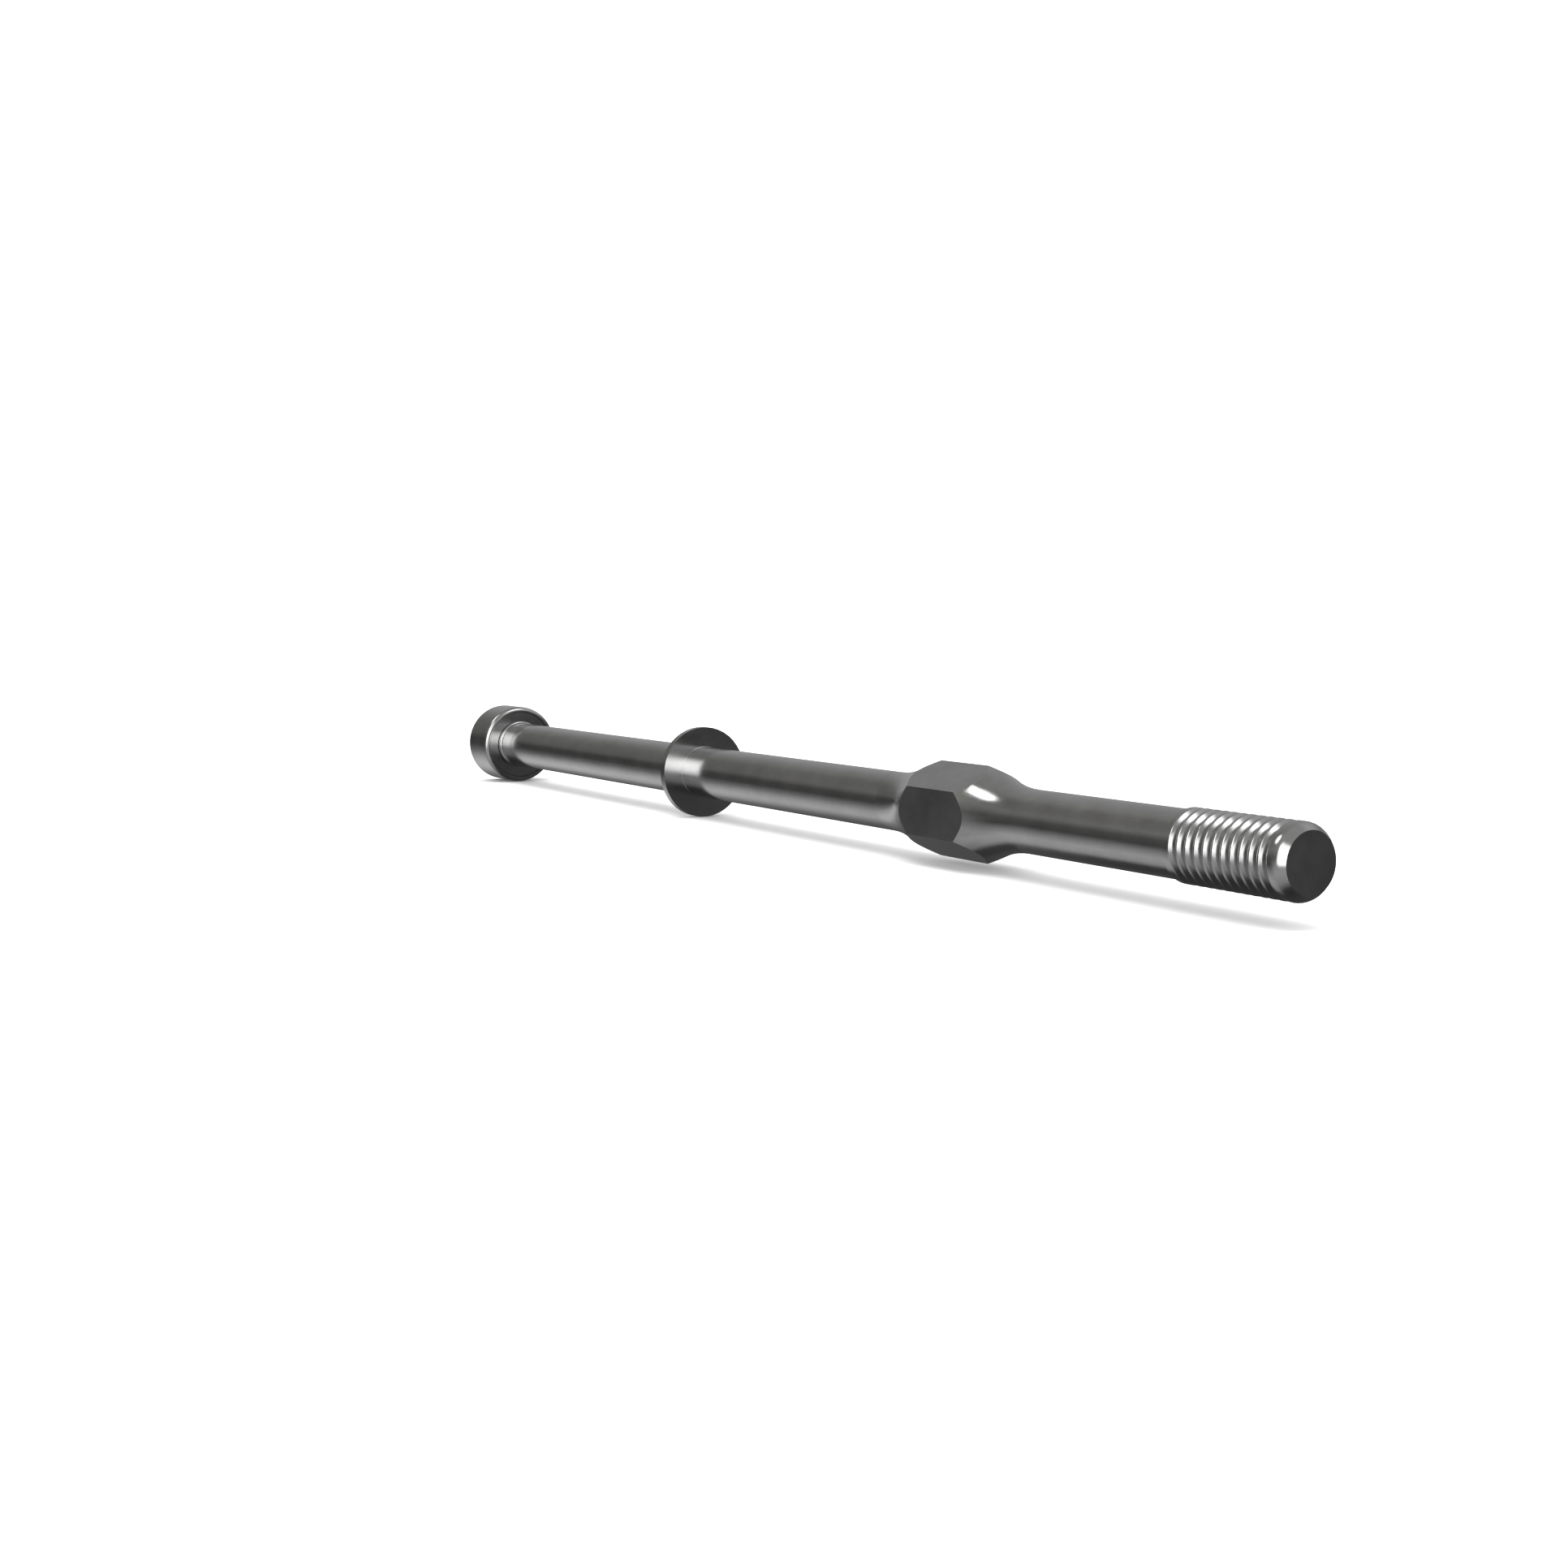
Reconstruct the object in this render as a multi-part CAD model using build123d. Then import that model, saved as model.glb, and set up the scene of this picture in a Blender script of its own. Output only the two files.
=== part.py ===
from build123d import *
from math import sin, cos, tan, acos, atan2, degrees, pi, radians
import os

os.makedirs("parts", exist_ok=True)

# Steel screw with a ball-borne thrust head. All sizes in millimetres.
# The screw's axis is X. The thread is at the +X end, the head at the -X end,
# and the origin is at the middle of the overall length.

# Overall
OVERALL_L = 279.4
END_X = OVERALL_L / 2
BACK_X = -OVERALL_L / 2
ROD_R = 5.16

# Thread, 7/16-14
THREAD_R = 5.556
THREAD_PITCH = 25.4 / 14
THREAD_ROOT_R = 4.54
THREAD_ROUND_R = 0.25
THREAD_START_X = 115.75
THREAD_LEAD_IN = 0.45
GROOVE_OVERCUT = 0.25
CREST_CLEARANCE = 0.002
GROOVE_START_X = 117.26
GROOVE_TURNS = 11
END_FACE_R = 4.50
END_CHAMFER_L = 1.30
END_ROUND_R = 2.1

# Hexagon, forged with hollow shoulders
HEX_X = 59.75
HEX_AF = 13.95
HEX_CORNER_R = HEX_AF / 2 / cos(radians(30))
HEX_HALF_L = 6.75
HEX_SHOULDER_R = 28.9

# Flange
FLANGE_FACE_X = -32.45
FLANGE_T = 1.68
FLANGE_R = 9.16
FLANGE_FILLET_R = 0.10
FLANGE_BACK_FILLET_R = 0.10

# Collar at the head: small fillet and the skirt over the cover ring
SKIRT_FILLET_R = 0.50
SKIRT_R = 5.72
SKIRT_TOP_X = -128.15
SKIRT_BACK_X = -128.36
NECK_R = 5.30
SHOULDER_X = -131.6

# Journal and circlip groove
JOURNAL_R = 3.20
JOURNAL_END_X = -137.9
JOURNAL_CHAMFER = 0.3
CLIP_GROOVE_R = 2.85
CLIP_GROOVE_X = (-133.80, -133.05)
CLIP_R = 3.50
CLIP_T = 0.65
CLIP_GAP_DEG = 50

# Head cup
HEAD_R = 9.07
HEAD_FRONT_X = -128.64
HEAD_RIM_FILLET_R = 0.95
HEAD_BACK_FILLET_R = 0.88
CUP_FLOOR_X = -136.2
CUP_BORE_R = 7.40
CUP_MOUTH_R = 7.95
CUP_MOUTH_X = -130.0
BUSH_POCKET_R = 4.25
BUSH_POCKET_X = -138.5

# Cover ring and seal
COVER_R = 7.90
COVER_BORE_R = 5.60
COVER_EDGE_X = -128.74
COVER_INNER_X = -128.70
COVER_EDGE_BREAK = 0.12
SEAL_R = 7.35
SEAL_BORE_R = 5.40
SEAL_X = (-131.20, -130.05)

# Thrust races, balls and cage
BALL_R = 1.19
BALL_N = 10
BALL_PITCH_R = 5.45
BALL_X = -133.90
TRACK_R = 1.25
RACE_T = 1.40
HOUSING_RACE_X = -136.15
HOUSING_RACE_R = 7.35
SHAFT_RACE_X = -133.0
SHAFT_RACE_R = 6.90
CAGE_R = (3.90, 7.05)
CAGE_T = 1.10
CAGE_POCKET_R = 1.28

# Journal bush
BUSH_R = 4.20
BUSH_BORE_R = 3.25
BUSH_X = (-138.45, -134.95)


def turned(points):
    """Solid of revolution about X from a closed outline of (x, radius) points."""
    outline = Polyline(*[(x, r) for x, r in points], close=True)
    return revolve(make_face(outline), axis=Axis.X, revolution_arc=360)


def ring(x0, x1, r_in, r_out):
    """Plain ring on the X axis."""
    return turned([(x0, r_in), (x1, r_in), (x1, r_out), (x0, r_out)])


def along_x(x):
    """Plane across the axis at x, with its normal along +X."""
    return Plane(origin=(x, 0, 0), x_dir=(0, 1, 0), z_dir=(1, 0, 0))


def screw_blank():
    """The shaft before the hexagon and the thread are formed."""
    turn = acos(1 - (HEX_CORNER_R - ROD_R) / HEX_SHOULDER_R)
    run = HEX_SHOULDER_R * sin(turn)
    mid_run = HEX_SHOULDER_R * sin(turn / 2)
    mid_r = ROD_R + HEX_SHOULDER_R * (1 - cos(turn / 2))
    left = HEX_X - HEX_HALF_L
    right = HEX_X + HEX_HALF_L
    quarter = FLANGE_FILLET_R * (1 - cos(pi / 4))
    quarter_b = FLANGE_BACK_FILLET_R * (1 - cos(pi / 4))
    flange_back_x = FLANGE_FACE_X - FLANGE_T
    quarter_s = SKIRT_FILLET_R * (1 - cos(pi / 4))
    slope = atan2(THREAD_R - END_FACE_R, END_CHAMFER_L)
    blend = END_ROUND_R * tan(slope / 2)
    blend_x = END_X - END_CHAMFER_L - blend
    lead_x = THREAD_START_X + THREAD_LEAD_IN
    edges = [
        Line((JOURNAL_END_X, 0), (JOURNAL_END_X, JOURNAL_R - JOURNAL_CHAMFER)),
        Line((JOURNAL_END_X, JOURNAL_R - JOURNAL_CHAMFER), (JOURNAL_END_X + JOURNAL_CHAMFER, JOURNAL_R)),
        Line((JOURNAL_END_X + JOURNAL_CHAMFER, JOURNAL_R), (CLIP_GROOVE_X[0], JOURNAL_R)),
        Line((CLIP_GROOVE_X[0], JOURNAL_R), (CLIP_GROOVE_X[0], CLIP_GROOVE_R)),
        Line((CLIP_GROOVE_X[0], CLIP_GROOVE_R), (CLIP_GROOVE_X[1], CLIP_GROOVE_R)),
        Line((CLIP_GROOVE_X[1], CLIP_GROOVE_R), (CLIP_GROOVE_X[1], JOURNAL_R)),
        Line((CLIP_GROOVE_X[1], JOURNAL_R), (SHOULDER_X, JOURNAL_R)),
        Line((SHOULDER_X, JOURNAL_R), (SHOULDER_X, NECK_R)),
        Line((SHOULDER_X, NECK_R), (SKIRT_BACK_X, NECK_R)),
        Line((SKIRT_BACK_X, NECK_R), (SKIRT_BACK_X, SKIRT_R)),
        Line((SKIRT_BACK_X, SKIRT_R), (SKIRT_TOP_X, SKIRT_R)),
        Line((SKIRT_TOP_X, SKIRT_R), (SKIRT_TOP_X, ROD_R + SKIRT_FILLET_R)),
        ThreePointArc(
            (SKIRT_TOP_X, ROD_R + SKIRT_FILLET_R),
            (SKIRT_TOP_X + quarter_s, ROD_R + quarter_s),
            (SKIRT_TOP_X + SKIRT_FILLET_R, ROD_R),
        ),
        Line((SKIRT_TOP_X + SKIRT_FILLET_R, ROD_R), (flange_back_x - FLANGE_BACK_FILLET_R, ROD_R)),
        ThreePointArc(
            (flange_back_x - FLANGE_BACK_FILLET_R, ROD_R),
            (flange_back_x - quarter_b, ROD_R + quarter_b),
            (flange_back_x, ROD_R + FLANGE_BACK_FILLET_R),
        ),
        Line((flange_back_x, ROD_R + FLANGE_BACK_FILLET_R), (flange_back_x, FLANGE_R)),
        Line((flange_back_x, FLANGE_R), (FLANGE_FACE_X, FLANGE_R)),
        Line((FLANGE_FACE_X, FLANGE_R), (FLANGE_FACE_X, ROD_R + FLANGE_FILLET_R)),
        ThreePointArc(
            (FLANGE_FACE_X, ROD_R + FLANGE_FILLET_R),
            (FLANGE_FACE_X + quarter, ROD_R + quarter),
            (FLANGE_FACE_X + FLANGE_FILLET_R, ROD_R),
        ),
        Line((FLANGE_FACE_X + FLANGE_FILLET_R, ROD_R), (left - run, ROD_R)),
        ThreePointArc((left - run, ROD_R), (left - run + mid_run, mid_r), (left, HEX_CORNER_R)),
        Line((left, HEX_CORNER_R), (right, HEX_CORNER_R)),
        ThreePointArc((right, HEX_CORNER_R), (right + run - mid_run, mid_r), (right + run, ROD_R)),
        Line((right + run, ROD_R), (THREAD_START_X, ROD_R)),
        Line((THREAD_START_X, ROD_R), (lead_x, THREAD_R)),
        Line((lead_x, THREAD_R), (blend_x, THREAD_R)),
        ThreePointArc(
            (blend_x, THREAD_R),
            (blend_x + END_ROUND_R * sin(slope / 2), THREAD_R - END_ROUND_R * (1 - cos(slope / 2))),
            (blend_x + END_ROUND_R * sin(slope), THREAD_R - END_ROUND_R * (1 - cos(slope))),
        ),
        Line(
            (blend_x + END_ROUND_R * sin(slope), THREAD_R - END_ROUND_R * (1 - cos(slope))),
            (END_X, END_FACE_R),
        ),
        Line((END_X, END_FACE_R), (END_X, 0)),
        Line((END_X, 0), (JOURNAL_END_X, 0)),
    ]
    return revolve(make_face(Wire(edges)), axis=Axis.X, revolution_arc=360)


def hexagon_cut():
    """Six slabs that leave the hexagon, with corners pointing straight up and down."""
    reach = HEX_HALF_L + HEX_SHOULDER_R * 0.5
    outer = Cylinder(HEX_CORNER_R + 2, 2 * reach, rotation=(0, 90, 0))
    flats = extrude(along_x(-reach) * RegularPolygon(HEX_CORNER_R, 6, rotation=90), 2 * reach)
    return Pos(HEX_X, 0, 0) * (outer - flats)


def groove_outline():
    """V of 60 degrees with a rounded root and rounded crests, as (height, across) points.

    Height 0 is the crest. The crests' roundings end just above it, so that they meet it cleanly.
    """
    r = THREAD_ROUND_R
    depth = THREAD_R - THREAD_ROOT_R
    top = CREST_CLEARANCE
    side = sin(radians(60))
    rise = 1 - cos(radians(60))
    bend = sin(radians(30))
    sag = 1 - cos(radians(30))
    flank = (depth + top - 2 * r * rise) * tan(radians(30))
    half = 2 * r * side + flank
    root = ThreePointArc((-depth + r * rise, -r * side), (-depth, 0), (-depth + r * rise, r * side))
    edges = [root]
    for s in (1, -1):
        edges.append(Line((-depth + r * rise, s * r * side), (top - r * rise, s * (half - r * side))))
        edges.append(
            ThreePointArc(
                (top - r * rise, s * (half - r * side)),
                (top - r * sag, s * (half - r * bend)),
                (top, s * half),
            )
        )
        edges.append(Line((top, s * half), (GROOVE_OVERCUT, s * half)))
    edges.append(Line((GROOVE_OVERCUT, -half), (GROOVE_OVERCUT, half)))
    return Wire(edges)


def thread_groove():
    """Helical groove with both ends on the +Y side, as one swept solid."""
    length = GROOVE_TURNS * THREAD_PITCH
    helix = Helix(THREAD_PITCH, length, THREAD_R, center=(GROOVE_START_X, 0, 0), direction=(1, 0, 0))
    start = helix @ 0
    out = Vector(0, start.Y, start.Z).normalized()
    frame = Plane(origin=start, x_dir=out, z_dir=helix % 0)
    groove = sweep(make_face(frame * groove_outline()), path=helix, is_frenet=True)
    return Rot(-degrees(atan2(start.Z, start.Y)), 0, 0) * groove


def screw_shaft():
    """Forged and turned shaft with its hexagon, flange, collar, journal and thread."""
    return screw_blank() - hexagon_cut() - thread_groove()


def head_cup():
    """Closed cup with a rounded rim, a flat back and a pocket for the bush."""
    body = turned([(BACK_X, 0), (HEAD_FRONT_X, 0), (HEAD_FRONT_X, HEAD_R), (BACK_X, HEAD_R)])
    for x, r in ((HEAD_FRONT_X, HEAD_RIM_FILLET_R), (BACK_X, HEAD_BACK_FILLET_R)):
        rims = [e for e in body.edges() if e.geom_type == GeomType.CIRCLE]
        body = fillet([e for e in rims if abs(e.center().X - x) < 0.01], r)
    hollow = turned(
        [
            (BUSH_POCKET_X, 0),
            (BUSH_POCKET_X, BUSH_POCKET_R),
            (CUP_FLOOR_X, BUSH_POCKET_R),
            (CUP_FLOOR_X, CUP_BORE_R),
            (CUP_MOUTH_X, CUP_BORE_R),
            (CUP_MOUTH_X, CUP_MOUTH_R),
            (HEAD_FRONT_X + 1, CUP_MOUTH_R),
            (HEAD_FRONT_X + 1, 0),
        ]
    )
    return body - hollow


def cover_ring():
    """Ring in the cup's mouth, just behind the rim."""
    back_x = CUP_MOUTH_X + 0.02
    return turned(
        [
            (back_x, COVER_BORE_R),
            (COVER_INNER_X - COVER_EDGE_BREAK, COVER_BORE_R),
            (COVER_INNER_X, COVER_BORE_R + COVER_EDGE_BREAK),
            (COVER_EDGE_X, COVER_R - COVER_EDGE_BREAK),
            (COVER_EDGE_X - COVER_EDGE_BREAK, COVER_R),
            (back_x, COVER_R),
        ]
    )


def wiper_seal():
    """Felt ring behind the cover ring."""
    return ring(SEAL_X[0], SEAL_X[1], SEAL_BORE_R, SEAL_R)


def ball_track():
    """Ring of round section that forms the ball track in both races."""
    section = Plane.XY * Pos(BALL_X, BALL_PITCH_R) * Circle(TRACK_R)
    return revolve(section, axis=Axis.X, revolution_arc=360)


def housing_race():
    """Race washer on the cup's floor."""
    return ring(HOUSING_RACE_X, HOUSING_RACE_X + RACE_T - 0.05, BUSH_POCKET_R, HOUSING_RACE_R) - ball_track()


def shaft_race():
    """Race washer pressed on the journal against the collar's shoulder."""
    return ring(SHAFT_RACE_X, SHAFT_RACE_X + RACE_T, JOURNAL_R, SHAFT_RACE_R) - ball_track()


def thrust_balls():
    """Full set of separate balls."""
    spots = PolarLocations(BALL_PITCH_R, BALL_N)
    return Compound([along_x(BALL_X) * spot * Sphere(BALL_R) for spot in spots])


def ball_cage():
    """Flat brass cage with one round pocket for each ball."""
    cage = ring(BALL_X - CAGE_T / 2, BALL_X + CAGE_T / 2, CAGE_R[0], CAGE_R[1])
    for spot in PolarLocations(BALL_PITCH_R, BALL_N):
        cage -= along_x(BALL_X) * spot * Cylinder(CAGE_POCKET_R, 2 * CAGE_T)
    return cage


def journal_bush():
    """Plain bush in the cup's bottom, with a chamfered mouth."""
    x0, x1 = BUSH_X
    c = 0.2
    return turned(
        [(x0, BUSH_BORE_R), (x1 - c, BUSH_BORE_R), (x1, BUSH_BORE_R + c), (x1, BUSH_R), (x0, BUSH_R)]
    )


def journal_circlip():
    """Open ring in the journal's groove, against the shaft race."""
    x1 = CLIP_GROOVE_X[1] - 0.03
    clip = ring(x1 - CLIP_T, x1, CLIP_GROOVE_R + 0.05, CLIP_R)
    gap = extrude(
        along_x(x1 - 2 * CLIP_T)
        * make_face(
            Polyline(
                (0, 0),
                (5 * cos(radians(CLIP_GAP_DEG / 2)), 5 * sin(radians(CLIP_GAP_DEG / 2))),
                (5 * cos(radians(CLIP_GAP_DEG / 2)), -5 * sin(radians(CLIP_GAP_DEG / 2))),
                close=True,
            )
        ),
        4 * CLIP_T,
    )
    return clip - gap


PARTS = {
    "screw_shaft": screw_shaft,
    "head_cup": head_cup,
    "cover_ring": cover_ring,
    "wiper_seal": wiper_seal,
    "shaft_race": shaft_race,
    "housing_race": housing_race,
    "thrust_balls": thrust_balls,
    "ball_cage": ball_cage,
    "journal_bush": journal_bush,
    "journal_circlip": journal_circlip,
}

for name, build in PARTS.items():
    solid = build()
    print(name, round(solid.volume, 2), len(solid.solids()), solid.is_valid)
    export_step(solid, "parts/" + name + ".step")
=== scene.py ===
import math

import bpy
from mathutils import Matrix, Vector


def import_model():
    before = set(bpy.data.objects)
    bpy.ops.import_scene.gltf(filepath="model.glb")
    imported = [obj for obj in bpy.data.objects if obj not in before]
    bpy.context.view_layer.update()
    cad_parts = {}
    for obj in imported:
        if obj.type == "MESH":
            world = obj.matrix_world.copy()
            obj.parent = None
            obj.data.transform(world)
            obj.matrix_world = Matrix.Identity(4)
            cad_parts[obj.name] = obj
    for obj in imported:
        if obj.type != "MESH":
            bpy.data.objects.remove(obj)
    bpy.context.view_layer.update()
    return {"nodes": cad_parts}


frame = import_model()
nodes = frame["nodes"]
scene = bpy.context.scene


# ---------------------------------------------------------------- materials

# Sizes of the marks on the metal, as noise cycles for each metre along X, Y and Z.
RINGS = (9000, 60, 60)
STAINS = (130, 190, 190)
GRAIN = (5200, 5200, 5200)
FELT_FIBRES = (2600, 2600, 2600)
FELT_PATCHES = (500, 500, 500)
FELT_LOW, FELT_HIGH = (0.10, 0.09, 0.075), (0.24, 0.22, 0.19)
FELT_NAP = 6e-5

# Turned metals: darkest and lightest colour, middle roughness, and depth of the marks in metres.
STEEL_LOW, STEEL_HIGH = (0.50, 0.50, 0.50), (0.62, 0.62, 0.62)
METALS = {
    "shaft_steel": (STEEL_LOW, STEEL_HIGH, 0.15, 1.0e-6),
    "head_steel": (STEEL_LOW, STEEL_HIGH, 0.15, 1.0e-6),
    "cover_steel": ((0.46, 0.46, 0.46), (0.58, 0.58, 0.58), 0.17, 1.2e-6),
    "race_steel": ((0.58, 0.58, 0.57), (0.68, 0.68, 0.67), 0.16, 0.8e-6),
    "ball_steel": ((0.68, 0.68, 0.68), (0.76, 0.76, 0.76), 0.08, 0.2e-6),
    "cage_brass": ((0.55, 0.38, 0.13), (0.74, 0.55, 0.24), 0.28, 1.5e-6),
    "bush_bronze": ((0.40, 0.24, 0.11), (0.58, 0.38, 0.20), 0.42, 3.0e-6),
    "spring_steel": ((0.07, 0.07, 0.075), (0.13, 0.13, 0.135), 0.38, 1.5e-6),
}
SLOTS = {
    "screw_shaft": "shaft_steel",
    "head_cup": "head_steel",
    "cover_ring": "cover_steel",
    "wiper_seal": "felt",
    "shaft_race": "race_steel",
    "housing_race": "race_steel",
    "thrust_balls": "ball_steel",
    "ball_cage": "cage_brass",
    "journal_bush": "bush_bronze",
    "journal_circlip": "spring_steel",
}


def new_material(name):
    """Material with a Principled shader, and its node tree."""
    mat = bpy.data.materials.new(name)
    mat.use_nodes = True
    tree = mat.node_tree
    shader = next(n for n in tree.nodes if n.type == "BSDF_PRINCIPLED")
    return mat, tree, shader


def coords(tree, scale):
    """Object coordinates, in metres, stretched by a scale for each axis."""
    coord = tree.nodes.new("ShaderNodeTexCoord")
    mapping = tree.nodes.new("ShaderNodeMapping")
    mapping.inputs["Scale"].default_value = scale
    tree.links.new(coord.outputs["Object"], mapping.inputs["Vector"])
    return mapping.outputs["Vector"]


def noise(tree, scale, detail=3.0, rough=0.5):
    """Noise from object coordinates."""
    tex = tree.nodes.new("ShaderNodeTexNoise")
    tex.inputs["Scale"].default_value = 1.0
    tex.inputs["Detail"].default_value = detail
    tex.inputs["Roughness"].default_value = rough
    tree.links.new(coords(tree, scale), tex.inputs["Vector"])
    return tex.outputs["Fac"]


def ranged(tree, value, from_lo, from_hi, to_lo, to_hi):
    """Value remapped from one range to another."""
    node = tree.nodes.new("ShaderNodeMapRange")
    node.inputs["From Min"].default_value = from_lo
    node.inputs["From Max"].default_value = from_hi
    node.inputs["To Min"].default_value = to_lo
    node.inputs["To Max"].default_value = to_hi
    tree.links.new(value, node.inputs["Value"])
    return node.outputs["Result"]


def blended(tree, factor, low, high):
    """Colour that runs from low to high with a factor."""
    ramp = tree.nodes.new("ShaderNodeValToRGB")
    ramp.color_ramp.elements[0].color = (*low, 1)
    ramp.color_ramp.elements[1].color = (*high, 1)
    tree.links.new(factor, ramp.inputs["Fac"])
    return ramp.outputs["Color"]


def summed(tree, a, b, weight):
    """a + b * weight."""
    node = tree.nodes.new("ShaderNodeMath")
    node.operation = "MULTIPLY_ADD"
    node.inputs[1].default_value = weight
    tree.links.new(b, node.inputs[0])
    tree.links.new(a, node.inputs[2])
    return node.outputs["Value"]


def bumped(tree, shader, height, depth):
    """Bump of a depth in metres."""
    node = tree.nodes.new("ShaderNodeBump")
    node.inputs["Strength"].default_value = 1.0
    node.inputs["Distance"].default_value = depth
    tree.links.new(height, node.inputs["Height"])
    tree.links.new(node.outputs["Normal"], shader.inputs["Normal"])


def turned_metal(name, low, high, rough, marks):
    """Lathe-turned metal: fine rings round X, slight stains and handling wear."""
    mat, tree, shader = new_material(name)
    shader.inputs["Metallic"].default_value = 1.0
    rings = noise(tree, RINGS, 2.0)
    stains = noise(tree, STAINS, 4.0, 0.6)
    grain = noise(tree, GRAIN, 2.0)
    tone = ranged(tree, summed(tree, stains, grain, 0.35), 0.40, 0.95, 0, 1)
    tree.links.new(blended(tree, tone, low, high), shader.inputs["Base Color"])
    gloss = summed(tree, stains, rings, 0.6)
    roughness = ranged(tree, gloss, 0.5, 1.1, rough - 0.04, rough + 0.05)
    tree.links.new(roughness, shader.inputs["Roughness"])
    bumped(tree, shader, summed(tree, rings, grain, 0.5), marks)
    return mat


def felt():
    """Oiled felt: matted fibres, dark and dull."""
    mat, tree, shader = new_material("felt_look")
    fibres = noise(tree, FELT_FIBRES, 6.0, 0.7)
    patches = noise(tree, FELT_PATCHES, 3.0)
    tone = ranged(tree, summed(tree, fibres, patches, 0.6), 0.5, 1.1, 0, 1)
    tree.links.new(blended(tree, tone, FELT_LOW, FELT_HIGH), shader.inputs["Base Color"])
    tree.links.new(ranged(tree, patches, 0.3, 0.7, 0.75, 0.95), shader.inputs["Roughness"])
    bumped(tree, shader, fibres, FELT_NAP)
    return mat


materials = {slot: turned_metal(slot + "_look", *look) for slot, look in METALS.items()}
materials["felt"] = felt()
for name, slot in SLOTS.items():
    for place in nodes[name].material_slots:
        place.material = materials[slot]


# ---------------------------------------------------------------- floor, light and camera

# The floor lies 0.02 mm below the flange, whose radius is 9.16 mm.
FLOOR_Z = -0.00918
FLOOR_SIZE = 12

# Brightness of the studio round the screw, by the angle about its axis: 0 faces -Y, 90 is up, -90 is down.
# First as seen straight along the screw towards -X, then further off that, then on the thread's side.
STUDIO_END = [
    (-180, 0.06),
    (-150, 0.09),
    (-130, 0.16),
    (-110, 0.27),
    (-90, 0.58),
    (-70, 0.64),
    (-50, 0.46),
    (-30, 0.19),
    (-10, 0.06),
    (10, 0.05),
    (30, 0.13),
    (70, 0.165),
    (90, 0.21),
    (110, 0.27),
    (130, 0.34),
    (180, 0.37),
]
STUDIO_SIDE = [
    (-180, 0.06),
    (-130, 0.07),
    (-110, 0.05),
    (-90, 0.06),
    (-72, 0.40),
    (-50, 0.48),
    (-30, 0.30),
    (-10, 0.06),
    (10, 0.09),
    (30, 0.22),
    (50, 0.17),
    (70, 0.165),
    (90, 0.26),
    (110, 0.29),
    (130, 0.31),
    (180, 0.34),
]
STUDIO_FRONT = [
    (-180, 0.06),
    (-120, 0.06),
    (-90, 0.04),
    (-75, 0.05),
    (-55, 0.32),
    (-28, 0.43),
    (-12, 0.36),
    (10, 0.14),
    (50, 0.34),
    (110, 0.34),
    (128, 0.50),
    (145, 0.45),
    (160, 0.07),
    (180, 0.06),
]
# X of the direction looked in, where one of them gives way to the next.
END_TO_SIDE = (-0.90, -0.775)
SIDE_TO_FRONT = (-0.60, 0.0)
# The part of the studio above the front, between these angles, is slightly warm.
WARM_FROM, WARM_TO = 5, 100
WARM_TINT = (1.0, 0.99, 0.93)
# Soft lamps in the studio: azimuth from -Y towards +X, elevation, full and faded radius, all in degrees,
# and brightness.
LAMPS = [
    (28, 4, 9, 16, 1.9),
    (28, 20, 9, 16, 1.9),
    (29, 36, 9, 16, 1.9),
    (62, 12, 5, 20, 2.6),
    (-44, 50, 5, 12, 4.0),
    (110, 47, 9, 16, 1.9),
]
# White that everything except a reflection sees. It lights the floor, and keeps its shadow faint.
SURROUND_BRIGHTNESS = 1.6
# Area light: azimuth, elevation, distance and width in metres, and brightness.
SOFTBOX = (20, 80, 1.2, 0.9, 1.0)
# Camera: azimuth and elevation, distance from the middle in metres, lens and sensor width in mm.
CAMERA_AZIMUTH, CAMERA_ELEVATION = 60, 5
CAMERA_DISTANCE = 0.3952
CAMERA_LENS, CAMERA_SENSOR = 47.615, 36
CAMERA_NEAR, CAMERA_FAR = 0.01, 50


def floor():
    """Plain pale floor, left out of the metal's reflections as in a cut-out studio shot."""
    bpy.ops.mesh.primitive_plane_add(size=FLOOR_SIZE, location=(0, 0, FLOOR_Z))
    plane = bpy.context.object
    plane.name = "floor"
    plane.visible_glossy = False
    mat, tree, shader = new_material("floor_look")
    shader.inputs["Base Color"].default_value = (0.90, 0.90, 0.90, 1)
    shader.inputs["Roughness"].default_value = 0.9
    shader.inputs["Specular IOR Level"].default_value = 0.0
    plane.data.materials.append(mat)


def grey_ramp(tree, factor, marks):
    """Grey that follows marks of (angle in degrees, brightness), with a warm tint above the front."""
    ramp = tree.nodes.new("ShaderNodeValToRGB")
    stops = ramp.color_ramp.elements
    while len(stops) < len(marks):
        stops.new(0.5)
    for i, (degrees, value) in enumerate(marks):
        tint = WARM_TINT if WARM_FROM < degrees < WARM_TO else (1, 1, 1)
        stops[i].position = (degrees + 180) / 360
        stops[i].color = (*(value * t for t in tint), 1)
    tree.links.new(factor, ramp.inputs["Fac"])
    return ramp.outputs["Color"]


def mixed(tree, factor, a, b):
    """Colour between a and b."""
    node = tree.nodes.new("ShaderNodeMix")
    node.data_type = "RGBA"
    tree.links.new(factor, node.inputs[0])
    tree.links.new(a, node.inputs[6])
    tree.links.new(b, node.inputs[7])
    return node.outputs[2]


def heading(azimuth, elevation):
    """Unit vector at an azimuth from -Y towards +X, and an elevation."""
    a, e = math.radians(azimuth), math.radians(elevation)
    return Vector((math.sin(a) * math.cos(e), -math.cos(a) * math.cos(e), math.sin(e)))


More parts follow.
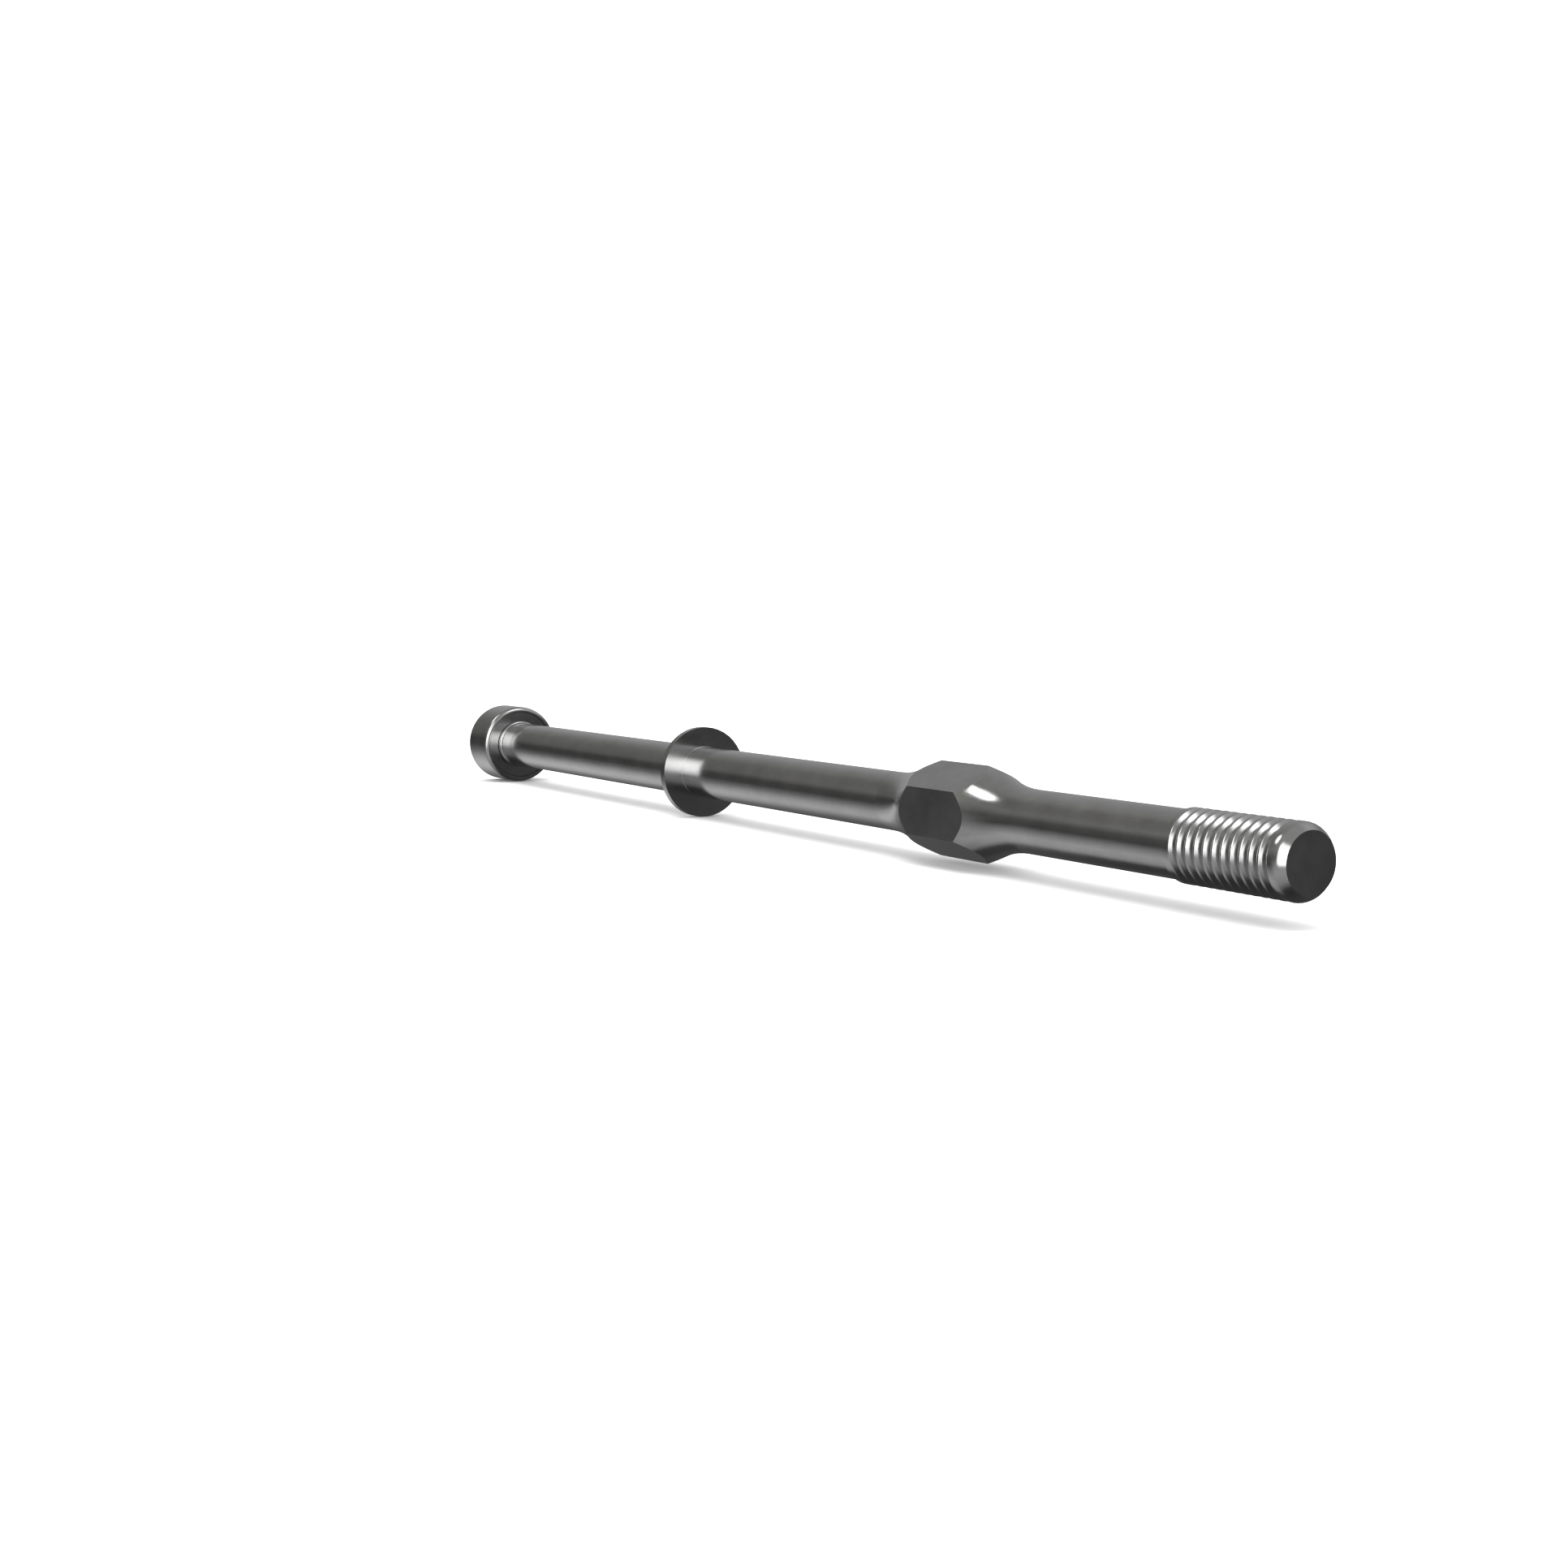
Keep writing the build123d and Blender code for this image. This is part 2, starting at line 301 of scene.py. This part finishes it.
def lamp(tree, direction, azimuth, elevation, full, faded, brightness):
    """Round soft lamp at infinity, full within one radius and faded out at another."""
    dot = tree.nodes.new("ShaderNodeVectorMath")
    dot.operation = "DOT_PRODUCT"
    dot.inputs[1].default_value = heading(azimuth, elevation)
    tree.links.new(direction, dot.inputs[0])
    edge, core = math.cos(math.radians(faded)), math.cos(math.radians(full))
    return ranged(tree, dot.outputs["Value"], edge, core, 0, brightness)


def angle_about_x(tree, split):
    """Angle of a direction about X as 0 to 1, where 0.5 faces -Y and 0.75 is up."""
    flip = tree.nodes.new("ShaderNodeMath")
    flip.operation = "MULTIPLY"
    flip.inputs[1].default_value = -1
    tree.links.new(split.outputs["Y"], flip.inputs[0])
    angle = tree.nodes.new("ShaderNodeMath")
    angle.operation = "ARCTAN2"
    tree.links.new(split.outputs["Z"], angle.inputs[0])
    tree.links.new(flip.outputs["Value"], angle.inputs[1])
    return ranged(tree, angle.outputs["Value"], -math.pi, math.pi, 0, 1)


def world():
    """Pale surroundings to the eye, and a soft grey studio in the metal."""
    w = bpy.data.worlds.new("studio")
    scene.world = w
    w.use_nodes = True
    tree = w.node_tree
    back = next(n for n in tree.nodes if n.type == "BACKGROUND")
    out = next(n for n in tree.nodes if n.type == "OUTPUT_WORLD")
    coord = tree.nodes.new("ShaderNodeTexCoord")
    split = tree.nodes.new("ShaderNodeSeparateXYZ")
    tree.links.new(coord.outputs["Generated"], split.inputs["Vector"])
    turn = angle_about_x(tree, split)
    light = grey_ramp(tree, turn, STUDIO_END)
    for limits, marks in ((END_TO_SIDE, STUDIO_SIDE), (SIDE_TO_FRONT, STUDIO_FRONT)):
        share = ranged(tree, split.outputs["X"], *limits, 0, 1)
        light = mixed(tree, share, light, grey_ramp(tree, turn, marks))
    for azimuth, elevation, full, faded, brightness in LAMPS:
        glow = lamp(tree, coord.outputs["Generated"], azimuth, elevation, full, faded, brightness)
        add = tree.nodes.new("ShaderNodeVectorMath")
        add.operation = "ADD"
        tree.links.new(light, add.inputs[0])
        tree.links.new(glow, add.inputs[1])
        light = add.outputs["Vector"]
    tree.links.new(light, back.inputs["Color"])
    seen = tree.nodes.new("ShaderNodeBackground")
    seen.inputs["Color"].default_value = (1, 1, 1, 1)
    seen.inputs["Strength"].default_value = SURROUND_BRIGHTNESS
    path = tree.nodes.new("ShaderNodeLightPath")
    mix = tree.nodes.new("ShaderNodeMixShader")
    tree.links.new(path.outputs["Is Glossy Ray"], mix.inputs["Fac"])
    tree.links.new(seen.outputs["Background"], mix.inputs[1])
    tree.links.new(back.outputs["Background"], mix.inputs[2])
    tree.links.new(mix.outputs["Shader"], out.inputs["Surface"])


def softbox(azimuth, elevation, distance, size, brightness):
    """Square area light over the floor. The metal sees the studio's lamps instead of it."""
    data = bpy.data.lights.new("softbox", "AREA")
    data.shape = "SQUARE"
    data.size = size
    data.energy = brightness * math.pi * size * size * math.pi
    light = bpy.data.objects.new("softbox", data)
    light.location = heading(azimuth, elevation) * distance
    light.rotation_mode = "QUATERNION"
    light.rotation_quaternion = (-light.location).to_track_quat("-Z", "Y")
    light.visible_camera = False
    light.visible_glossy = False
    scene.collection.objects.link(light)


def camera():
    """Long view from the thread's side, slightly above the screw."""
    back = heading(CAMERA_AZIMUTH, CAMERA_ELEVATION)
    data = bpy.data.cameras.new("camera")
    data.sensor_width = CAMERA_SENSOR
    data.lens = CAMERA_LENS
    data.clip_start = CAMERA_NEAR
    data.clip_end = CAMERA_FAR
    cam = bpy.data.objects.new("camera", data)
    cam.location = back * CAMERA_DISTANCE
    cam.rotation_mode = "QUATERNION"
    cam.rotation_quaternion = (-back).to_track_quat("-Z", "Y")
    scene.collection.objects.link(cam)
    scene.camera = cam


floor()
world()
softbox(*SOFTBOX)
camera()
scene.view_settings.view_transform = "Standard"
